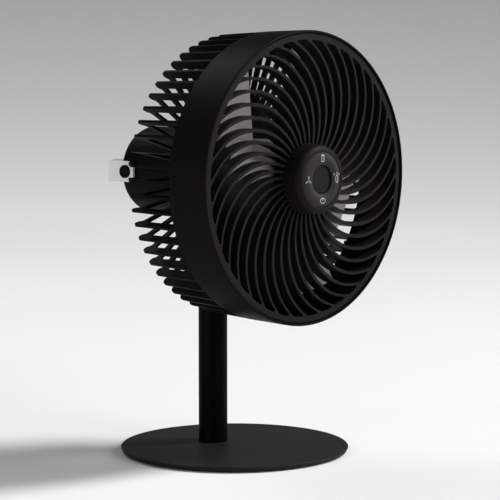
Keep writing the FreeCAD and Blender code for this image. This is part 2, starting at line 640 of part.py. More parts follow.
def cage_screws():
    screw_ring("cage_screws", "head", value(CAGE_SCREW_START), CAGE_SCREW_PITCH, "cage_screw_count",
               "cage_screw_radius", "cage_screw_head", CAGE_RING_BACK,
               "band_length - cage_ring_front - cage_screw_reach", CAGE_RING_BACK + " + screw_head_thick")


# Control pod

def control_pod():
    body = piece("control_pod")
    face = "-pod_height"
    bore = "(ring_radius + ring_play)"
    ledge_back = RING_BACK + " + ledge_thick"
    hollow = "(pod_radius - 2 * pod_wall - pod_fit)"
    spigot = "(pod_radius - pod_wall - pod_fit)"
    turned(body, "pod_shell", [
        (spigot, "spigot_depth + rim_front"), (hollow, "spigot_depth + rim_front"), (hollow, ledge_back),
        (bore + " - ledge_width", ledge_back), (bore + " - ledge_width", RING_BACK), (bore, RING_BACK),
        (bore, face), ("pod_face", face, "pod_round"),
        ("pod_radius - pod_lean", "rim_front - pod_side"), ("pod_radius", "rim_front"),
        (spigot, "rim_front")])
    hole_ring(body, "pod_post", "pod_screw_pitch", "pod_boss", "3", BOARD_REAR, "hub_floor - " + BOARD_REAR,
              kind="PartDesign::Pad")
    hole_ring(body, "pod_thread", "pod_screw_pitch", "pod_screw_radius + screw_fit", "3",
              "hub_floor + hub_floor_thick - pod_screw_length", "pod_screw_length - hub_floor_thick")


def symbol_ring():
    body = piece("symbol_ring")
    edge = "ring_edge - pod_height"
    turned(body, "ring_rounded", [
        ("ring_bore", edge, "ring_bulge"), ("ring_radius", edge), ("ring_radius", RING_BACK),
        ("button_flange + flange_play", RING_BACK), ("button_flange + flange_play", RING_BORE_BACK),
        ("ring_bore", RING_BORE_BACK)])


def power_button():
    body = piece("power_button")
    turned(body, "button_cap", [("0", BUTTON_FACE), ("button_radius", BUTTON_FACE),
                                ("button_radius", FLANGE_FRONT), ("button_flange", FLANGE_FRONT),
                                ("button_flange", FLANGE_BACK), ("0", FLANGE_BACK)])


def switch_plunger():
    body = piece("switch_plunger")
    end = FLANGE_BACK + " + plunger_length"
    turned(body, "plunger_pin", box_path("0", "plunger_radius", FLANGE_BACK, end))


def switch_body():
    body = piece("switch_body")
    front = "(%s + button_travel + flange_play)" % FLANGE_BACK

    def draw(sketch):
        half = "switch_side / 2"
        outline(sketch, box_path("-" + half, half, "-" + half, half))
        circle(sketch, "0", "0", "plunger_radius + pin_fit")
    raised(body, "switch_case", "XY_Plane", draw, "-control_board_front - " + front, front)


def control_board():
    body = piece("control_board")
    turned(body, "pod_board", box_path("0", "control_board_radius", "-control_board_front", BOARD_REAR))
    half = "connector_side / 2"
    plan = box_path("-" + half, half, "-" + half, half)
    raised(body, "pod_connector", "XY_Plane", lambda s: outline(s, plan), "connector_height / 2", BOARD_REAR)


def pod_screws():
    seat = "(hub_floor + hub_floor_thick)"
    screw_ring("pod_screws", "head", 0, "pod_screw_pitch", "3", "pod_screw_radius", "pod_screw_head",
               seat, seat + " - pod_screw_length", seat + " + screw_head_thick")


# Rear housing, battery and boards

def motor_housing():
    body = piece("motor_housing")
    round_start = "housing_back - housing_round"
    step = "(housing_radius - housing_wall - shoulder_width)"
    turned(body, "housing_shell", [
        (HOUSING_BORE, "flange_front"), ("flange_radius", "flange_front"), ("flange_radius", COLLAR_FRONT),
        ("housing_radius", COLLAR_FRONT), ("housing_radius", round_start, "housing_round"),
        ("housing_radius - housing_round", "housing_back"), ("0", "housing_back"), ("0", BACK_INSIDE),
        (step, BACK_INSIDE), (step, "pack_shoulder"), (HOUSING_BORE, "pack_shoulder")])
    root = "(housing_radius - 0.8 * housing_wall)"
    ear = [(root, "lip_ahead - ear_half"), ("hinge_drop", "lip_ahead - ear_radius", "ear_radius"),
           ("hinge_drop", "lip_ahead + ear_radius"), (root, "lip_ahead + ear_half")]
    right = raised(body, "ear", "YZ_Plane", lambda s: outline(s, ear), "ear_thick", EAR_IN)
    raised(body, "ear_left", "YZ_Plane", lambda s: outline(s, ear), "ear_thick", "-" + EAR_OUT)
    middle(raised(body, "ear_bore", "YZ_Plane",
                  lambda s: circle(s, "hinge_drop", "lip_ahead", "pin_radius + pin_fit"),
                  "4 * " + EAR_OUT, kind="PartDesign::Pocket"))
    inside = "(housing_radius - 0.6 * housing_wall)"
    seat = "(strap_off + 0.6 * housing_wall)"
    lug_low = "(tip_height / 2 + lug_gap)"
    lug_seat = "(strap_off + strap_thick + 0.6 * housing_wall)"
    lug_high = "(tip_height / 2 + lug_gap + lug_height)"

    def lugs(sketch):
        for near, far in ((lug_low, lug_high), ("-" + lug_high, "-" + lug_low)):
            outline(sketch, box_path(near, far, "strap_tip", "strap_shoulder - lug_gap"))
    for side, start, lug_start, hole_start in (
            ("right", inside, inside, STRAP_IN + " - stud_reach"),
            ("left", "-" + STRAP_IN, "-" + STRAP_OUT, "-" + STRAP_IN)):
        raised(body, "strap_seat_" + side, "YZ_Plane", lambda s: circle(s, "0", "stud_at", "stud_boss"),
               seat, start)
        raised(body, "lugs_" + side, "YZ_Plane", lugs, lug_seat, lug_start)
        raised(body, "stud_hole_" + side, "YZ_Plane",
               lambda s: circle(s, "0", "stud_at", "stud_radius + stud_fit"), "stud_reach", hole_start,
               "PartDesign::Pocket")
    half = "(socket_width / 2 + socket_fit)"
    tall = "(socket_height / 2 + socket_fit)"
    slot = box_path("-" + half, half, "socket_drop - " + tall, "socket_drop + " + tall)
    raised(body, "socket_slot", "XY_Plane", lambda s: outline(s, slot), "2 * housing_wall",
           BACK_INSIDE + " - housing_wall / 2", "PartDesign::Pocket")
    hole_ring(body, "flange_hole", "bulkhead_screw_pitch", "bulkhead_screw_radius + screw_fit", "4",
              "flange_front", "flange_thick", "45")


def bulkhead():
    body = piece("bulkhead")
    turned(body, "bulkhead_disc", box_path("axle_radius + axle_fit", "flange_radius", BULKHEAD_FRONT,
                                           "flange_front"))
    hole_ring(body, "bulkhead_hole", "bulkhead_screw_pitch", "bulkhead_screw_radius + screw_fit", "4",
              BULKHEAD_FRONT, "bulkhead_thick", "45")
    hole_ring(body, "carrier_thread", "carrier_screw_pitch", "carrier_screw_radius + screw_fit", "3",
              BULKHEAD_FRONT, "bulkhead_thick")


def bulkhead_screws():
    screw_ring("bulkhead_screws", "head", 45, "bulkhead_screw_pitch", "4", "bulkhead_screw_radius",
               "bulkhead_screw_head", BULKHEAD_FRONT, COLLAR_FRONT + " + bulkhead_screw_reach",
               BULKHEAD_FRONT + " - screw_head_thick")


def pack_spacer():
    body = piece("pack_spacer")
    outer = "(%s - holder_fit)" % HOUSING_BORE
    turned(body, "spacer_tube", box_path(outer + " - spacer_wall", outer, "flange_front", PACK_FRONT))


def main_board():
    body = piece("main_board")
    radius = "(%s - holder_fit - spacer_wall - main_board_gap)" % HOUSING_BORE
    turned(body, "board_disc", box_path("0", radius, BOARD_FRONT, PACK_FRONT))
    half = "connector_side / 2"
    raised(body, "board_connector", "XY_Plane",
           lambda s: outline(s, box_path("-" + half, half, "-" + half, half)), "connector_height", LEAD_REAR)


def battery_holder(label, low, sockets_at):
    body = piece(label)
    outer = "(%s - holder_fit)" % HOUSING_BORE
    turned(body, label + "_disc", box_path("0", outer, low, "%s + %s" % (low, HOLDER_THICK)))
    hole_ring(body, label + "_socket", CELL_PITCH, "cell_radius + cell_fit", "3", sockets_at,
              "holder_socket", "30")


def battery_holders():
    battery_holder("battery_holder_front", PACK_FRONT, PACK_FRONT + " + holder_floor")
    rear = "(pack_shoulder - holder_floor - holder_socket)"
    battery_holder("battery_holder_rear", rear, rear)


def battery_cells():
    body = piece("battery_cells", "head", 30)
    front = "(%s + holder_floor)" % PACK_FRONT
    top = front + " + cell_nub"
    back = "(pack_shoulder - holder_floor)"
    half_cell = [("0", front), ("cell_nub_radius", front), ("cell_nub_radius", top), ("cell_radius", top),
                 ("cell_radius", back), ("0", back)]
    cell = turned(body, "cell", half_cell, axis_at=CELL_PITCH)
    around(body, "cells", [cell], "3")


def charge_socket():
    body = piece("charge_socket")
    half = "(socket_width / 2)"
    tall = "(socket_height / 2)"
    mouth = "(housing_back - socket_inset)"
    shell = box_path("-" + half, half, "socket_drop - " + tall, "socket_drop + " + tall)
    raised(body, "socket_shell", "XY_Plane", lambda s: outline(s, shell), "socket_length",
           mouth + " - socket_length")
    wide = "(socket_width / 2 - socket_wall)"
    high = "(socket_height / 2 - socket_wall)"
    mouth_path = box_path("-" + wide, wide, "socket_drop - " + high, "socket_drop + " + high)
    raised(body, "socket_mouth", "XY_Plane", lambda s: outline(s, mouth_path), "socket_length - 1",
           mouth + " - socket_length + 1", "PartDesign::Pocket")
    blade = box_path("-0.7 * " + wide, "0.7 * " + wide, "socket_drop - socket_wall",
                     "socket_drop + socket_wall")
    raised(body, "socket_blade", "XY_Plane", lambda s: outline(s, blade), "socket_length - 2",
           mouth + " - socket_length + 0.5")


def charge_board():
    body = piece("charge_board")
    half = "charge_board_width / 2"
    top = "(socket_drop + socket_height / 2)"
    low = "(housing_back - socket_inset - socket_length)"
    card = box_path("-" + half, half, top, top + " + board_thick")
    raised(body, "charge_card", "XY_Plane", lambda s: outline(s, card), BACK_INSIDE + " - " + low, low)


# Axle, motor and impeller

def axle_tube():
    body = piece("axle_tube")
    seat = "(rear_bearing_at + bearing_width + axle_fit)"
    turned(body, "axle_turned", [
        ("axle_bore", "hub_floor"), ("axle_radius", "hub_floor"), ("axle_radius", seat),
        ("axle_shoulder", seat), ("axle_shoulder", AXLE_FLANGE_FRONT), ("axle_flange", AXLE_FLANGE_FRONT),
        ("axle_flange", BULKHEAD_FRONT), ("axle_radius", BULKHEAD_FRONT), ("axle_radius", "flange_front"),
        ("axle_bore", "flange_front")])


def axle_nut():
    body = piece("axle_nut")

    def draw(sketch):
        outline(sketch, [("axle_nut_radius * cos(%d)" % angle, "axle_nut_radius * sin(%d)" % angle)
                         for angle in range(15, 375, 60)])
        circle(sketch, "0", "0", "axle_radius + axle_fit")
    raised(body, "axle_hexagon", "XY_Plane", draw, "axle_nut_thick",
           "front_bearing_at - axle_nut_thick - screw_fit")


def bearing(label, low):
    body = piece(label)
    inner = "(axle_radius + axle_fit)"
    high = "(%s + bearing_width)" % low
    inner_race = inner + " + bearing_race"
    outer_race = "bearing_radius - bearing_race"
    turned(body, label + "_rings", [
        (inner, low), (inner_race, low), (inner_race, low + " + bearing_recess"),
        (outer_race, low + " + bearing_recess"), (outer_race, low), ("bearing_radius", low),
        ("bearing_radius", high), (outer_race, high), (outer_race, high + " - bearing_recess"),
        (inner_race, high + " - bearing_recess"), (inner_race, high), (inner, high)])


def bearings():
    bearing("front_bearing", "front_bearing_at")
    bearing("rear_bearing", "rear_bearing_at")


def stator_carrier():
    body = piece("stator_carrier")
    turned(body, "carrier_tube", [
        ("carrier_inner", "carrier_front"), ("carrier_outer", "carrier_front"),
        ("carrier_outer", AXLE_FLANGE_FRONT), ("carrier_flange", AXLE_FLANGE_FRONT),
        ("carrier_flange", BULKHEAD_FRONT), ("carrier_inner", BULKHEAD_FRONT)])
    hole_ring(body, "carrier_hole", "carrier_screw_pitch", "carrier_screw_radius + screw_fit", "3",
              AXLE_FLANGE_FRONT, "axle_flange_thick")


def carrier_screws():
    screw_ring("carrier_screws", "head", 0, "carrier_screw_pitch", "3", "carrier_screw_radius",
               "carrier_screw_head", AXLE_FLANGE_FRONT, "flange_front",
               AXLE_FLANGE_FRONT + " - screw_head_thick")


def stator_core():
    body = piece("stator_core")
    low = "stator_front"
    high = "stator_front + stator_length"
    turned(body, "back_iron", box_path("carrier_outer + coil_fit", "carrier_outer + stator_back_iron",
                                       low, high))
    half = "tooth_width / 2"
    tooth = raised(body, "tooth", "XY_Plane",
                   lambda s: outline(s, box_path("carrier_outer + stator_back_iron / 2", "stator_radius",
                                                 "-" + half, half)), "stator_length", low)
    around(body, "teeth", [tooth], "tooth_count")


def stator_coils():
    body = piece("stator_coils")
    start = "carrier_outer + stator_back_iron + 2 * coil_fit"
    length = "stator_radius - coil_tip - (%s)" % start
    wide = "(tooth_width / 2 + coil_fit)"
    low = "(stator_front - coil_fit)"
    high = "(stator_front + stator_length + coil_fit)"

    def draw(sketch):
        outline(sketch, box_path("-%s - coil_thick" % wide, wide + " + coil_thick", low + " - coil_thick",
                                 high + " + coil_thick"))
        outline(sketch, box_path("-" + wide, wide, low, high))
    coil = raised(body, "coil", "YZ_Plane", draw, length, start)
    around(body, "coils", [coil], "tooth_count")


def magnet_ring():
    body = piece("magnet_ring")
    low = "stator_front - coil_thick"
    high = "stator_front + stator_length + coil_thick"
    turned(body, "magnets", box_path("magnet_inner", "hub_radius - hub_wall - magnet_fit", low, high))


def impeller():
    body = piece("impeller", "head", -value("blade_turn"))
    sections = []
    for name, height, rear, thick, bend in (
            ("blade_root", "(0.8 * hub_radius)", "blade_rear", "blade_root_thick", "blade_root_bend"),
            ("blade_end", "(1.03 * blade_radius)", "blade_tip_rear", "blade_tip_thick", "blade_tip_bend")):
        half = "%s * tan(blade_half)" % height
        section = sketch_on(body, name, "XZ_Plane", height)
        outline(section, [("-" + half, "blade_front", "-" + bend), (half, rear + " - " + thick),
                          (half, rear, bend), ("-" + half, "blade_front + " + thick)])
        sections.append(section)
    blade = body.newObject("PartDesign::AdditiveLoft", "blade")
    blade.Profile = sections[0]
    blade.Sections = [sections[1]]
    blade.Ruled = True
    around(body, "blades", [blade], "blade_count")
    far = "2 * blade_radius"
    turned(body, "blade_tips", box_path("blade_radius", far, "-" + far, far), "PartDesign::Groove")
    turned(body, "blade_roots", box_path("0", "hub_radius - hub_wall / 2", "-" + far, far),
           "PartDesign::Groove")
    seat = "(bearing_radius + bearing_fit)"
    front_seat = "(front_bearing_at + bearing_width)"
    inner = "hub_radius - hub_wall"
    boss_back = "rear_bearing_at + bearing_width + boss_end"
    turned(body, "hub_cup", [
        (seat, "hub_front"), ("hub_radius - hub_round", "hub_front", "hub_round"),
        ("hub_radius", "hub_front + hub_round"), ("hub_radius", "hub_rear"), (inner, "hub_rear"),
        (inner, "hub_front + hub_face"), (BOSS_RADIUS, "hub_front + hub_face"), (BOSS_RADIUS, boss_back),
        (seat, boss_back), (seat, "rear_bearing_at"), (seat + " - boss_step", "rear_bearing_at"),
        (seat + " - boss_step", front_seat), (seat, front_seat)])


def hub_cap():
    body = piece("hub_cap")
    outer = "(bearing_radius - bearing_fit)"
    end = "hub_front + cap_spigot"
    turned(body, "cap_turned", [
        ("cap_hole", "hub_front - cap_thick"), ("cap_radius - cap_thick / 2", "hub_front - cap_thick"),
        ("cap_radius", "hub_front - cap_thick / 2"), ("cap_radius", "hub_front"), (outer, "hub_front"),
        (outer, end), (outer + " - cap_wall", end), (outer + " - cap_wall", "hub_front"),
        ("cap_hole", "hub_front")])


def signal_lead():
    body = piece("signal_lead")
    front = BOARD_REAR + " + connector_height / 2"
    turned(body, "lead_run", box_path("0", "lead_radius", front, LEAD_REAR))


# Carry strap

def carry_strap():
    body = piece("carry_strap")
    bend_in = "(strap_corner - strap_thick)"
    start = "strap_tip"
    straight = STRAP_BACK + " - strap_corner"
    path = [(STRAP_IN, start), (STRAP_OUT, start), (STRAP_OUT, straight, "strap_corner"),
            (STRAP_OUT + " - strap_corner", STRAP_BACK),
            ("strap_corner - " + STRAP_OUT, STRAP_BACK, "strap_corner"),
            ("-" + STRAP_OUT, straight), ("-" + STRAP_OUT, start), ("-" + STRAP_IN, start),
            ("-" + STRAP_IN, straight, "-" + bend_in),
            ("strap_corner - " + STRAP_OUT, STRAP_BACK + " - strap_thick"),
            (STRAP_OUT + " - strap_corner", STRAP_BACK + " - strap_thick", "-" + bend_in),
            (STRAP_IN, straight)]
    middle(raised(body, "strap_band", "XZ_Plane", lambda s: outline(s, path), "strap_height"))

    def notches(sketch):
        for near, far in (("tip_height / 2", "strap_height"), ("-strap_height", "-tip_height / 2")):
            outline(sketch, box_path(near, far, "strap_tip - 1", "strap_shoulder"))
    middle(raised(body, "strap_tip_notch", "YZ_Plane", notches, "4 * housing_radius",
                  kind="PartDesign::Pocket"))
    middle(raised(body, "strap_stud_hole", "YZ_Plane",
                  lambda s: circle(s, "0", "stud_at", "stud_radius + stud_fit"), "4 * housing_radius",
                  kind="PartDesign::Pocket"))


def strap_studs():
    body = piece("strap_studs")
    shank = raised(body, "stud_shank", "YZ_Plane", lambda s: circle(s, "0", "stud_at", "stud_radius"),
                   "stud_reach + strap_thick", STRAP_IN + " - stud_reach")
    head = raised(body, "stud_cap", "YZ_Plane", lambda s: circle(s, "0", "stud_at", "stud_head"),
                  "stud_head_thick", STRAP_OUT)
    around(body, "studs", [shank, head], "2")


for build in (base_plate, foot_pad, base_screws, pole_plug, pole_tube, tilt_knuckle, friction_washers,
              hinge_bolt, hinge_nut, shroud_ring, front_grille, rear_cage, cage_screws, control_pod,
              symbol_ring, power_button, switch_plunger, switch_body, control_board, pod_screws,
              motor_housing, bulkhead, bulkhead_screws, pack_spacer, main_board, battery_holders,
              battery_cells, charge_socket, charge_board, axle_tube, axle_nut, bearings, stator_carrier,
              carrier_screws, stator_core, stator_coils, magnet_ring, impeller, hub_cap, signal_lead,
              carry_strap, strap_studs):
    build()
doc.recompute()

# Nothing is written unless every object is sound.
failed = [item.Name for item in doc.Objects if {"Invalid", "Error"} & set(item.State)]
bodies = [item for item in doc.Objects if item.TypeId == "PartDesign::Body"]
broken = [body.Label for body in bodies if body.Shape.isNull() or not body.Shape.isValid()]
if failed or broken:
    raise RuntimeError("failed features: %s, broken shapes: %s" % (failed, broken))
os.makedirs("parts", exist_ok=True)
for body in bodies:
    body.Shape.exportStep("parts/%s.step" % body.Label)
    print("%-22s %2d solids %12.1f mm3" % (body.Label, len(body.Shape.Solids), body.Shape.Volume))
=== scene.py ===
import math

import bpy
from bpy.props import FloatProperty, FloatVectorProperty, PointerProperty
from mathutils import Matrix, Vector


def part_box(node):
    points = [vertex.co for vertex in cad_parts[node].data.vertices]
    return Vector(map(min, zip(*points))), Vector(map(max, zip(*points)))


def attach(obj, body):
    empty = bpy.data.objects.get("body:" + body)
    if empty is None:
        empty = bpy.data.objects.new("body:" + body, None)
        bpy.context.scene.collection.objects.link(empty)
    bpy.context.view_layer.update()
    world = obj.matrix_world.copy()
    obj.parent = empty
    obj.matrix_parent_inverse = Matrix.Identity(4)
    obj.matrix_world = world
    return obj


bl_info = {
    "name": "Table fan finish",
    "version": (1, 0, 0),
    "blender": (4, 5, 0),
    "location": "View3D > Sidebar > Table fan",
    "description": "Dresses the table fan's parts with their finishes, dial symbols and a plain studio",
    "category": "Object",
}

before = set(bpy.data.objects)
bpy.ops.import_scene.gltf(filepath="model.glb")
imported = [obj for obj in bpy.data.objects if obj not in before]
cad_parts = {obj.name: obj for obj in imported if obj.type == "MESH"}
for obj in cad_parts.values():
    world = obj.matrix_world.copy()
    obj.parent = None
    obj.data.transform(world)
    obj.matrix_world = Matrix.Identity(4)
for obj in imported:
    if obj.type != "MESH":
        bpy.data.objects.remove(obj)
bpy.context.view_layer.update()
RING_LOW, RING_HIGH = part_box("symbol_ring")
AXIS_HEIGHT = (RING_LOW[2] + RING_HIGH[2]) / 2
RING_FACE = RING_LOW[1]

# How far before the ring a flat symbol lies before it is pressed on, in metres
SYMBOL_STANDOFF = 0.001
# Grains per metre of the soft clouds in plastic and paint, and of the streaks in metal
PLASTIC_CLOUD = 38.0
PAINT_CLOUD = 24.0
METAL_STREAK = 900.0
# Depth of the fine relief of plastic, paint and metal, in metres
PLASTIC_RELIEF = 0.00012
PAINT_RELIEF = 0.0002
METAL_RELIEF = 0.0001
# Softness of the edges of pieces that have no setting of their own, in metres
PLATE_EDGE = 0.0004
PIECE_EDGE = 0.0003
THIN_EDGE = 0.0002
# Steps and angle of the bend from floor to backdrop
SWEEP_STEPS = 32
SWEEP_ANGLE = math.radians(80)
# Width of the camera's sensor in millimetres, and how far it sees in metres
SENSOR_WIDTH = 36.0
SIGHT = 50.0


class FanFinishes(bpy.types.PropertyGroup):
    """Colours and gloss of the fan's finishes."""
    shell_colour: FloatVectorProperty(
        name="Shell", description="Moulded black plastic of shroud, cage and housing",
        subtype="COLOR", size=3, default=(0.0056, 0.0047, 0.0053), min=0, max=1)
    # Painted light: the same black plastic as the shell, made lighter to stand in for the light on the
    # pod's rounded shoulder and the slat edges.
    grille_painted_light_colour: FloatVectorProperty(
        name="Grille", description="Slightly lighter moulded plastic of the front grille and the pod",
        subtype="COLOR", size=3, default=(0.0089, 0.0074, 0.0083), min=0, max=1)
    dial_colour: FloatVectorProperty(
        name="Dial", description="Smooth plastic of the symbol ring",
        subtype="COLOR", size=3, default=(0.0150, 0.0129, 0.0147), min=0, max=1)
    button_colour: FloatVectorProperty(
        name="Button", description="Darker matt plastic of the centre button",
        subtype="COLOR", size=3, default=(0.0078, 0.0068, 0.0077), min=0, max=1)
    blade_colour: FloatVectorProperty(
        name="Blades", description="Pale plastic of the impeller",
        subtype="COLOR", size=3, default=(0.86, 0.84, 0.81), min=0, max=1)
    strap_colour: FloatVectorProperty(
        name="Strap", description="Pale soft plastic of the carry strap",
        subtype="COLOR", size=3, default=(0.73, 0.725, 0.71), min=0, max=1)
    base_colour: FloatVectorProperty(
        name="Base", description="Powder coat of the base plate",
        subtype="COLOR", size=3, default=(0.0142, 0.0128, 0.0142), min=0, max=1)
    pole_colour: FloatVectorProperty(
        name="Pole", description="Satin paint of the pole",
        subtype="COLOR", size=3, default=(0.0016, 0.0015, 0.0016), min=0, max=1)
    symbol_colour: FloatVectorProperty(
        name="Symbols", description="Light print of the dial symbols",
        subtype="COLOR", size=3, default=(0.42, 0.42, 0.42), min=0, max=1)
    shell_roughness: FloatProperty(
        name="Shell roughness", description="Gloss of the moulded plastic", subtype="FACTOR",
        default=0.46, min=0, max=1)
    shell_gloss: FloatProperty(
        name="Shell gloss", description="Strength of reflections on the moulded plastic", subtype="FACTOR",
        default=0.02, min=0, max=1)
    grille_gloss: FloatProperty(
        name="Grille gloss", description="Strength of reflections on grille and pod", subtype="FACTOR",
        default=0.04, min=0, max=1)
    blade_through: FloatProperty(
        name="Blade translucency", description="Share of light that passes through a blade",
        subtype="FACTOR", default=0.35, min=0, max=1)
    edge_round: FloatProperty(
        name="Edge rounding", description="Softness of the moulded edges in the shading", unit="LENGTH",
        default=0.0003, min=0, max=0.002)


class FanSymbols(bpy.types.PropertyGroup):
    """Sizes of the printed symbols on the dial."""
    stroke: FloatProperty(
        name="Stroke", description="Line width of a symbol", unit="LENGTH", default=0.00045,
        min=0.0001, max=0.002)
    raise_height: FloatProperty(
        name="Raise", description="Thickness of the print", unit="LENGTH", default=0.00008,
        min=0.00002, max=0.0005)
    circle: FloatProperty(
        name="Circle", description="Distance of a symbol from the dial's centre", unit="LENGTH",
        default=0.0156, min=0.01, max=0.02)
    battery_width: FloatProperty(
        name="Battery width", description="Width of the battery symbol", unit="LENGTH",
        default=0.0029, min=0.001, max=0.01)
    battery_height: FloatProperty(
        name="Battery height", description="Height of the battery symbol", unit="LENGTH",
        default=0.0047, min=0.001, max=0.01)
    lamp_radius: FloatProperty(
        name="Lamp radius", description="Radius of the lamp symbol's bulb", unit="LENGTH",
        default=0.0019, min=0.0005, max=0.005)
    petal_length: FloatProperty(
        name="Petal length", description="Length of one blade of the fan symbol", unit="LENGTH",
        default=0.0034, min=0.0005, max=0.006)
    timer_radius: FloatProperty(
        name="Timer radius", description="Radius of the timer symbol", unit="LENGTH",
        default=0.0029, min=0.0005, max=0.006)


class FanStage(bpy.types.PropertyGroup):
    """Camera, floor and lights of the plain studio."""
    lens: FloatProperty(
        name="Lens", description="Focal length in millimetres", default=150.75, min=10, max=400)
    camera_place: FloatVectorProperty(
        name="Camera", description="Where the camera stands", subtype="TRANSLATION", unit="LENGTH", size=3,
        default=(-1.15857, -1.10978, 0.32357))
    camera_turn: FloatVectorProperty(
        name="Camera turn", description="Pitch and heading of the camera", subtype="EULER", unit="ROTATION",
        size=3, default=(math.radians(84.047), 0.0, math.radians(-46.659)))
    floor_size: FloatProperty(
        name="Floor size", description="Width and length of the flat floor", unit="LENGTH", default=60,
        min=4, max=200)
    floor_reach: FloatProperty(
        name="Floor reach", description="Flat floor behind the fan", unit="LENGTH", default=1.5,
        min=0.3, max=6)
    sweep_radius: FloatProperty(
        name="Sweep", description="Radius of the curve from floor to wall", unit="LENGTH", default=2.5,
        min=0.1, max=6)
    # The backdrop's darkening set here is painted shade: the colour runs from the floor's to the far wall
    # shade with the distance, and stands in for the light falling off behind the fan.
    fade_start: FloatProperty(
        name="Fade start", description="Where the backdrop begins to darken", unit="LENGTH", default=1.76)
    fade_end: FloatProperty(
        name="Fade end", description="Where the backdrop is darkest", unit="LENGTH", default=3.56)
    fade_lean: FloatProperty(
        name="Fade lean", description="How much sooner the right side darkens", default=0.25, min=-3, max=3)
    floor_colour: FloatVectorProperty(
        name="Floor", description="Colour of the floor", subtype="COLOR", size=3,
        default=(0.757, 0.757, 0.757), min=0, max=1)
    # Painted shade: the dark colour the backdrop fades to far behind the fan, in place of the light's
    # falloff.
    painted_wall_shade: FloatVectorProperty(
        name="Wall", description="Colour of the backdrop's wall", subtype="COLOR", size=3,
        default=(0.328, 0.328, 0.328), min=0, max=1)
    key_power: FloatProperty(
        name="Key light", description="Strength of the main light from the right", default=3.19,
        min=0, max=50)
    back_power: FloatProperty(
        name="Back light", description="Power of the light above and behind, in watts", default=8.0,
        min=0, max=500)
    right_power: FloatProperty(
        name="Right light", description="Power of the low light at the right, in watts", default=15.1,
        min=0, max=500)
    left_power: FloatProperty(
        name="Left light", description="Power of the low light at the left, in watts", default=11.8,
        min=0, max=500)
    front_power: FloatProperty(
        name="Front light", description="Power of the weak light before the grille, in watts", default=13.2,
        min=0, max=500)
    over_power: FloatProperty(
        name="Front top light", description="Power of the light above the fan's front, in watts",
        default=4.7, min=0, max=500)
    room_colour: FloatVectorProperty(
        name="Room", description="Colour that shows beyond the floor's edges", subtype="COLOR", size=3,
        default=(0.45, 0.45, 0.45), min=0, max=1)
    world_strength: FloatProperty(
        name="Room light", description="Strength of the even light of the room", default=0.004,
        min=0, max=5)


class Wave:
    """A shader socket that takes part in plain arithmetic: each step adds a Math node."""

    def __init__(self, finish, socket):
        self.finish = finish
        self.socket = socket

    def step(self, operation, first, second):
        node = self.finish.node("ShaderNodeMath", {"operation": operation}, {0: first, 1: second})
        return Wave(self.finish, node.outputs[0])

    def __add__(self, other):
        return self.step("ADD", self, other)

    def __radd__(self, other):
        return self.step("ADD", other, self)

    def __mul__(self, other):
        return self.step("MULTIPLY", self, other)

    def __rmul__(self, other):
        return self.step("MULTIPLY", other, self)


class Finish:
    """One procedural material on Object coordinates."""

    def __init__(self, name):
        self.material = bpy.data.materials.new(name)
        self.material.use_nodes = True
        self.tree = self.material.node_tree
        self.shader = self.tree.nodes["Principled BSDF"]
        self.place = self.node("ShaderNodeTexCoord").outputs["Object"]

    def node(self, kind, settings=None, sockets=None):
        """Add a node, set it up, and give its sockets values or links."""
        item = self.tree.nodes.new(kind)
        for key, setting in (settings or {}).items():
            setattr(item, key, setting)
        for key, entry in (sockets or {}).items():
            self.feed(item.inputs[key], entry)
        return item

    def feed(self, socket, entry):
        """Link a socket, or set its own value."""
        if isinstance(entry, Wave):
            entry = entry.socket
        if isinstance(entry, bpy.types.NodeSocket):
            self.tree.links.new(entry, socket)
        else:
            socket.default_value = entry

    def set(self, **values):
        """Set or link the shader's own sockets, named with underscores for spaces."""
        for key, entry in values.items():
            self.feed(self.shader.inputs[key.replace("_", " ")], entry)

    def grain(self, scale, detail=2.0, roughness=0.5):
        """Noise with a number of grains per metre."""
        item = self.node("ShaderNodeTexNoise", {"noise_dimensions": "3D"},
                         {"Vector": self.place, "Scale": scale, "Detail": detail, "Roughness": roughness})
        return Wave(self, item.outputs[0])

    def tint(self, factor, low, high):
        """A colour between two, by a factor."""
        item = self.node("ShaderNodeMix", {"data_type": "RGBA"},
                         {0: factor, 6: (*low, 1.0), 7: (*high, 1.0)})
        return item.outputs[2]

    def let_through(self, colour, share):
        """Pass a share of the light through a thin wall."""
        through = self.node("ShaderNodeBsdfTranslucent", None, {"Color": (*colour, 1.0)})
        blend = self.node("ShaderNodeMixShader", None,
                          {0: share, 1: self.shader.outputs[0], 2: through.outputs[0]})
        self.feed(self.tree.nodes["Material Output"].inputs["Surface"], blend.outputs[0])

    def relief(self, height, strength, depth, edge=0.0):
        """A normal from a height in metres, over softened edges."""
        sockets = {"Height": height, "Strength": strength, "Distance": depth}
        if edge:
            softened = self.node("ShaderNodeBevel", {"samples": 4}, {"Radius": edge})
            sockets["Normal"] = softened.outputs["Normal"]
        return self.node("ShaderNodeBump", None, sockets).outputs["Normal"]


def shade(colour, by):
    """A colour made lighter or darker."""
    return tuple(min(1.0, part * by) for part in colour)


def moulded(name, colour, roughness, edge, texture=3200.0, strength=0.10, gloss=0.3, through=0.0):
    """Spark-eroded moulded plastic: fine even grain, a faint cloud of gloss and soft edges."""
    finish = Finish(name)
    cloud = finish.grain(PLASTIC_CLOUD, detail=3.0)
    fine = finish.grain(texture, detail=1.0)
    finish.set(Base_Color=finish.tint(cloud * 0.6 + fine * 0.4, shade(colour, 0.86), shade(colour, 1.14)),
               Roughness=roughness - 0.07 + cloud * 0.08 + fine * 0.06,
               Normal=finish.relief(fine, strength, PLASTIC_RELIEF, edge),
               Specular_IOR_Level=gloss)
    if through:
        finish.let_through(colour, through)
    return finish.material


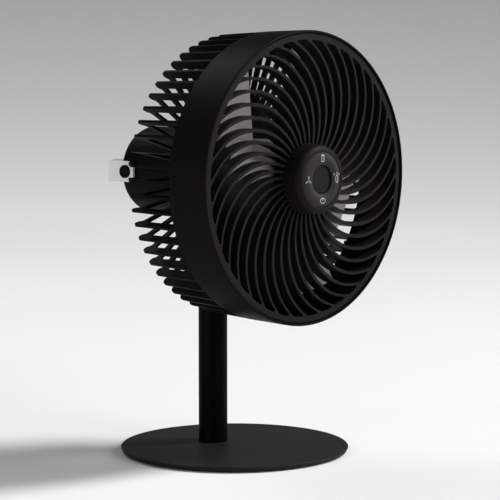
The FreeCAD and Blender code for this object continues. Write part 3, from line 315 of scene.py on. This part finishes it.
def coated(name, colour, roughness, grains, strength, edge, gloss=0.1):
    """Paint on metal with the small waves of a sprayed coat."""
    finish = Finish(name)
    peel = finish.grain(grains, roughness=0.55)
    cloud = finish.grain(PAINT_CLOUD)
    finish.set(Base_Color=finish.tint(cloud, shade(colour, 0.9), shade(colour, 1.1)),
               Roughness=roughness - 0.05 + peel * 0.1,
               Normal=finish.relief(peel, strength, PAINT_RELIEF, edge),
               Specular_IOR_Level=gloss)
    return finish.material


def bare_metal(name, colour, roughness):
    """Turned or pressed metal with fine streaks."""
    finish = Finish(name)
    streak = finish.grain(METAL_STREAK, detail=3.0, roughness=0.7)
    finish.set(Base_Color=finish.tint(streak, shade(colour, 0.85), shade(colour, 1.1)),
               Roughness=roughness - 0.06 + streak * 0.12,
               Normal=finish.relief(streak, strength=0.05, depth=METAL_RELIEF),
               Metallic=1.0)
    return finish.material


def dress(material, *nodes):
    """Give CAD nodes one material."""
    for name in nodes:
        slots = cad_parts[name].data.materials
        slots.clear()
        slots.append(material)


def start_piece():
    """Leave edit mode and deselect everything before a piece is modelled."""
    if bpy.context.object and bpy.context.object.mode != "OBJECT":
        bpy.ops.object.mode_set(mode="OBJECT")
    bpy.ops.object.select_all(action="DESELECT")


def frame_shape(stroke):
    """In edit mode, turn the selected flat shape into a line of the stroke's width round its edge."""
    bpy.ops.mesh.inset(thickness=stroke, depth=0)
    bpy.ops.mesh.delete(type="FACE")


def add_bar(width, height, at, turn=0.0):
    """In edit mode, add a flat bar."""
    bpy.ops.mesh.select_all(action="DESELECT")
    bpy.ops.mesh.primitive_plane_add(size=1, location=(at[0], at[1], 0))
    bpy.ops.transform.resize(value=(width, height, 1), center_override=(at[0], at[1], 0))
    if turn:
        bpy.ops.transform.rotate(value=turn, orient_axis="Z", center_override=(at[0], at[1], 0))


def apply_modifier(piece, kind, **settings):
    """Add a modifier, set it up and apply it."""
    item = piece.modifiers.new(kind.lower(), kind)
    for key, setting in settings.items():
        setattr(item, key, setting)
    bpy.ops.object.modifier_apply(modifier=item.name)


def symbol_print(context):
    """The light print of the symbols, made once."""
    known = bpy.data.materials.get("symbol_print")
    return known or moulded("symbol_print", context.scene.fan_finishes.symbol_colour, roughness=0.6,
                            edge=0.0, texture=3000.0, strength=0.03)


def finish_symbol(context, name, angle):
    """Lay a flat symbol on the rounded ring, at an angle clockwise from the top, and thicken it."""
    symbols = context.scene.fan_symbols
    bpy.ops.mesh.select_all(action="SELECT")
    bpy.ops.mesh.subdivide(number_cuts=4)
    bpy.ops.object.mode_set(mode="OBJECT")
    symbol = context.object
    symbol.name = name
    symbol.location = (symbols.circle * math.sin(angle), RING_FACE - SYMBOL_STANDOFF,
                       AXIS_HEIGHT + symbols.circle * math.cos(angle))
    symbol.rotation_euler = (math.radians(90), 0, 0)
    bpy.ops.object.transform_apply(location=True, rotation=True, scale=True)
    apply_modifier(symbol, "SHRINKWRAP", wrap_method="PROJECT", use_project_y=True,
                   target=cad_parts["symbol_ring"])
    apply_modifier(symbol, "SOLIDIFY", thickness=symbols.raise_height, offset=1.0)
    symbol.data.materials.append(symbol_print(context))
    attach(symbol, "head")


class FAN_OT_shell(bpy.types.Operator):
    """Finish the black moulded pieces: shroud, cage, housing and studs, then front grille and pod"""
    bl_idname = "fan.shell"
    bl_label = "Shell"

    def execute(self, context):
        look = context.scene.fan_finishes
        plastic = moulded("shell_plastic", look.shell_colour, look.shell_roughness, look.edge_round,
                          gloss=look.shell_gloss)
        dress(plastic, "shroud_ring", "rear_cage", "motor_housing", "strap_studs", "switch_body")
        # The grille and pod get the shell's plastic painted lighter, for the light on the pod's shoulder
        # and the slat edges, with a little more gloss.
        face = moulded("grille_plastic", look.grille_painted_light_colour, look.shell_roughness, look.edge_round,
                       gloss=look.grille_gloss)
        dress(face, "front_grille", "control_pod")
        return {"FINISHED"}


class FAN_OT_dial(bpy.types.Operator):
    """Finish the symbol ring and the centre button"""
    bl_idname = "fan.dial"
    bl_label = "Dial"

    def execute(self, context):
        look = context.scene.fan_finishes
        plastic = moulded("dial_plastic", look.dial_colour, roughness=0.42, edge=look.edge_round,
                          texture=4200.0, strength=0.05, gloss=0.09)
        dress(plastic, "symbol_ring")
        cap = moulded("button_plastic", look.button_colour, roughness=0.5, edge=look.edge_round,
                      texture=4200.0, strength=0.05, gloss=0.05)
        dress(cap, "power_button")
        return {"FINISHED"}


class FAN_OT_blades(bpy.types.Operator):
    """Finish the pale impeller and its cap"""
    bl_idname = "fan.blades"
    bl_label = "Blades"

    def execute(self, context):
        look = context.scene.fan_finishes
        plastic = moulded("blade_plastic", look.blade_colour, roughness=0.38, edge=look.edge_round,
                          texture=2600.0, strength=0.04, through=look.blade_through)
        dress(plastic, "impeller", "hub_cap")
        return {"FINISHED"}


class FAN_OT_strap(bpy.types.Operator):
    """Finish the pale carry strap"""
    bl_idname = "fan.strap"
    bl_label = "Strap"

    def execute(self, context):
        look = context.scene.fan_finishes
        soft = moulded("strap_soft", look.strap_colour, roughness=0.58, edge=look.edge_round,
                       texture=1800.0, strength=0.12)
        dress(soft, "carry_strap")
        return {"FINISHED"}


class FAN_OT_stand(bpy.types.Operator):
    """Finish the base plate, the pole and the tilt joint"""
    bl_idname = "fan.stand"
    bl_label = "Stand"

    def execute(self, context):
        look = context.scene.fan_finishes
        powder = coated("base_powder_coat", look.base_colour, roughness=0.5, grains=1500.0, strength=0.14,
                        edge=PLATE_EDGE, gloss=0.05)
        dress(powder, "base_plate")
        satin = coated("pole_satin_paint", look.pole_colour, roughness=0.42, grains=700.0, strength=0.05,
                       edge=PIECE_EDGE, gloss=0.02)
        dress(satin, "pole_tube")
        black = coated("joint_black", look.pole_colour, roughness=0.45, grains=1200.0, strength=0.08,
                       edge=PIECE_EDGE)
        dress(black, "tilt_knuckle", "hinge_bolt", "hinge_nut", "cage_screws")
        rubber = moulded("pad_rubber", (0.02, 0.02, 0.021), roughness=0.75, edge=0.0, texture=1400.0,
                         strength=0.2)
        dress(rubber, "foot_pad", "signal_lead")
        return {"FINISHED"}


class FAN_OT_inside(bpy.types.Operator):
    """Finish the motor, the battery, the boards and the screws"""
    bl_idname = "fan.inside"
    bl_label = "Inside"

    def execute(self, context):
        dress(bare_metal("bright_steel", (0.55, 0.55, 0.56), roughness=0.34),
              "base_screws", "pod_screws", "bulkhead_screws", "charge_socket", "axle_tube", "axle_nut",
              "front_bearing", "rear_bearing", "carrier_screws", "stator_core")
        dress(bare_metal("cast_alloy", (0.6, 0.6, 0.62), roughness=0.45), "pole_plug", "stator_carrier")
        black = coated("bulkhead_black", (0.02, 0.018, 0.02), roughness=0.5, grains=1200.0, strength=0.1,
                       edge=PIECE_EDGE)
        dress(black, "bulkhead")
        dress(bare_metal("wound_copper", (0.62, 0.28, 0.12), roughness=0.4), "stator_coils")
        dress(bare_metal("magnet_iron", (0.14, 0.14, 0.15), roughness=0.5), "magnet_ring")
        dress(moulded("white_nylon", (0.75, 0.75, 0.73), roughness=0.5, edge=PIECE_EDGE),
              "friction_washers", "pack_spacer", "battery_holder_front", "battery_holder_rear",
              "switch_plunger")
        dress(moulded("cell_wrap", (0.05, 0.16, 0.35), roughness=0.35, edge=THIN_EDGE), "battery_cells")
        dress(moulded("board_green", (0.02, 0.13, 0.06), roughness=0.4, edge=THIN_EDGE),
              "control_board", "main_board", "charge_board")
        return {"FINISHED"}


class FAN_OT_battery_symbol(bpy.types.Operator):
    """Print the battery symbol at the dial's top"""
    bl_idname = "fan.battery_symbol"
    bl_label = "Battery symbol"

    def execute(self, context):
        symbols = context.scene.fan_symbols
        start_piece()
        bpy.ops.mesh.primitive_plane_add(size=1, location=(0, 0, 0), enter_editmode=True)
        bpy.ops.transform.resize(value=(symbols.battery_width, symbols.battery_height, 1))
        bpy.ops.mesh.bevel(offset=symbols.stroke, affect="VERTICES", segments=3)
        bpy.ops.mesh.select_all(action="SELECT")
        frame_shape(symbols.stroke)
        cap_width = symbols.battery_width * 0.45
        cap_height = symbols.stroke * 1.4
        cap_middle = symbols.battery_height / 2 + symbols.stroke * 1.2
        add_bar(cap_width, cap_height, (0, cap_middle))
        finish_symbol(context, "battery_symbol", 0.0)
        return {"FINISHED"}


class FAN_OT_lamp_symbol(bpy.types.Operator):
    """Print the lamp symbol at the dial's right"""
    bl_idname = "fan.lamp_symbol"
    bl_label = "Lamp symbol"

    def execute(self, context):
        symbols = context.scene.fan_symbols
        radius = symbols.lamp_radius
        start_piece()
        bpy.ops.mesh.primitive_circle_add(vertices=32, radius=radius, fill_type="NGON", enter_editmode=True)
        bpy.ops.transform.resize(value=(0.75, 1.6, 1))
        frame_shape(symbols.stroke)
        ray_reach = radius * 2.3
        ray_length = radius * 0.8
        for turn in (-0.7, 0.0, 0.7):
            middle = (math.sin(turn) * ray_reach, math.cos(turn) * ray_reach)
            add_bar(symbols.stroke, ray_length, middle, -turn)
        finish_symbol(context, "lamp_symbol", math.radians(90))
        return {"FINISHED"}


class FAN_OT_fan_symbol(bpy.types.Operator):
    """Print the fan symbol at the dial's left"""
    bl_idname = "fan.fan_symbol"
    bl_label = "Fan symbol"

    def execute(self, context):
        symbols = context.scene.fan_symbols
        petal_middle = (0, symbols.petal_length * 0.62, 0)
        petal_size = (symbols.stroke * 0.8, symbols.petal_length * 0.4, 1)
        hub_radius = symbols.stroke * 0.7
        start_piece()
        bpy.ops.mesh.primitive_circle_add(vertices=6, radius=hub_radius, fill_type="NGON",
                                          enter_editmode=True)
        for turn in (0.0, 120.0, 240.0):
            bpy.ops.mesh.select_all(action="DESELECT")
            bpy.ops.mesh.primitive_circle_add(vertices=20, radius=1, fill_type="NGON",
                                              location=petal_middle)
            bpy.ops.transform.resize(value=petal_size, center_override=petal_middle)
            bpy.ops.transform.rotate(value=math.radians(turn), orient_axis="Z", center_override=(0, 0, 0))
        finish_symbol(context, "fan_symbol", math.radians(-90))
        return {"FINISHED"}


class FAN_OT_timer_symbol(bpy.types.Operator):
    """Print the timer symbol at the dial's foot"""
    bl_idname = "fan.timer_symbol"
    bl_label = "Timer symbol"

    def execute(self, context):
        symbols = context.scene.fan_symbols
        radius = symbols.timer_radius
        start_piece()
        bpy.ops.mesh.primitive_circle_add(vertices=40, radius=radius, fill_type="NGON", enter_editmode=True)
        bpy.ops.transform.resize(value=(1, 0.72, 1))
        frame_shape(symbols.stroke)
        hand_length = radius * 0.6
        hand_middle = radius * 0.25
        add_bar(symbols.stroke, hand_length, (0, hand_middle))
        finish_symbol(context, "timer_symbol", math.radians(180))
        return {"FINISHED"}


def add_light(name, kind, power, spread, place, target):
    """A soft light that faces a point: a square panel of that width, or a sun of that angle."""
    lamp = bpy.data.lights.new(name, kind)
    lamp.energy = power
    setattr(lamp, "angle" if kind == "SUN" else "size", spread)
    holder = bpy.data.objects.new(name, lamp)
    bpy.context.scene.collection.objects.link(holder)
    holder.location = place
    holder.rotation_euler = (Vector(target) - Vector(place)).to_track_quat("-Z", "Y").to_euler()


# The power setting that names each light, its kind, its spread, where it stands and what it faces
LIGHTS = (
    ("key_power", "SUN", math.radians(15), (2.457, -1.721, 2.897), (0, 0, 0)),
    ("back_power", "AREA", 0.8, (0.1, 1.3, 1.5), (0, 0, 0.2)),
    ("right_power", "AREA", 0.8, (1.5, -1.1, 0.7), (0, 0, 0.2)),
    ("left_power", "AREA", 0.7, (-1.9, 0.2, 0.35), (0, 0, 0.2)),
    ("front_power", "AREA", 0.8, (0.0, -2.0, 0.7), (0, 0, 0.2)),
    ("over_power", "AREA", 0.8, (0.5, -0.9, 1.8), (0, 0, 0.2)),
)


def pale_floor(stage):
    """The floor's finish, with painted shade: it darkens with the distance along the camera's heading, and
    sooner at the right, for the light that falls off behind the fan.
    """
    heading = stage.camera_turn[2]
    ahead = Vector((-math.sin(heading), math.cos(heading), 0))
    aside = Vector((math.cos(heading), math.sin(heading), 0))
    slope = ahead + stage.fade_lean * aside
    pale = Finish("pale_floor")
    part = pale.node("ShaderNodeSeparateXYZ", None, {0: pale.place}).outputs
    depth = Wave(pale, part[0]) * slope.x + Wave(pale, part[1]) * slope.y
    fade = pale.node("ShaderNodeMapRange", None, {0: depth, 1: stage.fade_start, 2: stage.fade_end})
    # Painted shade: the colour darkens from the floor's towards the wall shade with the distance.
    pale.set(Base_Color=pale.tint(fade.outputs[0], stage.floor_colour, stage.painted_wall_shade), Roughness=0.9)
    return pale.material


def add_floor(stage):
    """A flat floor that bends up into a backdrop behind the fan, square to the camera."""
    middle = stage.floor_reach - stage.floor_size / 2
    bpy.ops.mesh.primitive_plane_add(size=stage.floor_size, location=(0, middle, 0))
    floor = bpy.context.object
    floor.name = "floor"
    bpy.ops.object.transform_apply(location=True)
    for corner in floor.data.vertices:
        corner.select = corner.co.y > 0
    bpy.ops.object.mode_set(mode="EDIT")
    bpy.ops.mesh.spin(steps=SWEEP_STEPS, angle=-SWEEP_ANGLE, axis=(1, 0, 0),
                      center=(0, stage.floor_reach, stage.sweep_radius))
    bpy.ops.object.mode_set(mode="OBJECT")
    bpy.ops.object.shade_smooth()
    floor.rotation_euler = (0, 0, stage.camera_turn[2])
    bpy.ops.object.transform_apply(rotation=True)
    floor.data.materials.append(pale_floor(stage))


def add_camera(stage):
    """The camera that sees the fan as the photo does."""
    camera = bpy.data.cameras.new("photo_camera")
    camera.lens = stage.lens
    camera.sensor_width = SENSOR_WIDTH
    camera.clip_end = SIGHT
    holder = bpy.data.objects.new("photo_camera", camera)
    holder.location = stage.camera_place
    holder.rotation_euler = stage.camera_turn
    bpy.context.scene.collection.objects.link(holder)
    bpy.context.scene.camera = holder


def set_room(stage):
    """A room that gives a trace of light, and that the camera sees as plain grey beyond the floor."""
    scene = bpy.context.scene
    world = scene.world or bpy.data.worlds.new("room")
    scene.world = world
    world.use_nodes = True
    nodes = world.node_tree.nodes
    dim = nodes["Background"]
    dim.inputs["Color"].default_value = (0.75, 0.75, 0.76, 1.0)
    dim.inputs["Strength"].default_value = stage.world_strength
    seen = nodes.new("ShaderNodeBackground")
    seen.inputs["Color"].default_value = (*stage.room_colour, 1.0)
    rays = nodes.new("ShaderNodeLightPath")
    choice = nodes.new("ShaderNodeMixShader")
    link = world.node_tree.links.new
    link(rays.outputs["Is Camera Ray"], choice.inputs[0])
    link(dim.outputs[0], choice.inputs[1])
    link(seen.outputs[0], choice.inputs[2])
    link(choice.outputs[0], nodes["World Output"].inputs["Surface"])


class FAN_OT_stage(bpy.types.Operator):
    """Set up the pale floor, the camera and the soft lights"""
    bl_idname = "fan.stage"
    bl_label = "Stage"

    def execute(self, context):
        stage = context.scene.fan_stage
        start_piece()
        add_floor(stage)
        add_camera(stage)
        for name, kind, spread, place, target in LIGHTS:
            add_light(name, kind, getattr(stage, name), spread, place, target)
        set_room(stage)
        context.scene.view_settings.view_transform = "Standard"
        return {"FINISHED"}


class FAN_PT_panel(bpy.types.Panel):
    """Lists the fan's pieces and finishes"""
    bl_idname = "FAN_PT_panel"
    bl_label = "Table fan"
    bl_space_type = "VIEW_3D"
    bl_region_type = "UI"
    bl_category = "Table fan"

    def draw(self, context):
        for item in OPERATORS:
            self.layout.operator(item.bl_idname)
        for group in (context.scene.fan_finishes, context.scene.fan_symbols, context.scene.fan_stage):
            box = self.layout.box()
            for name in group.__annotations__:
                box.prop(group, name)


OPERATORS = (FAN_OT_shell, FAN_OT_dial, FAN_OT_blades, FAN_OT_strap, FAN_OT_stand, FAN_OT_inside,
             FAN_OT_battery_symbol, FAN_OT_lamp_symbol, FAN_OT_fan_symbol, FAN_OT_timer_symbol,
             FAN_OT_stage)
CLASSES = (FanFinishes, FanSymbols, FanStage, *OPERATORS, FAN_PT_panel)


def register():
    """Add the panel, its operators and its settings."""
    for item in CLASSES:
        bpy.utils.register_class(item)
    bpy.types.Scene.fan_finishes = PointerProperty(type=FanFinishes)
    bpy.types.Scene.fan_symbols = PointerProperty(type=FanSymbols)
    bpy.types.Scene.fan_stage = PointerProperty(type=FanStage)


def unregister():
    """Take them away again."""
    del bpy.types.Scene.fan_stage
    del bpy.types.Scene.fan_symbols
    del bpy.types.Scene.fan_finishes
    for item in reversed(CLASSES):
        bpy.utils.unregister_class(item)


def main():
    """Dress the fan and set the stage."""
    register()
    for item in OPERATORS:
        group, name = item.bl_idname.split(".")
        getattr(getattr(bpy.ops, group), name)()


if __name__ == "__main__":
    main()
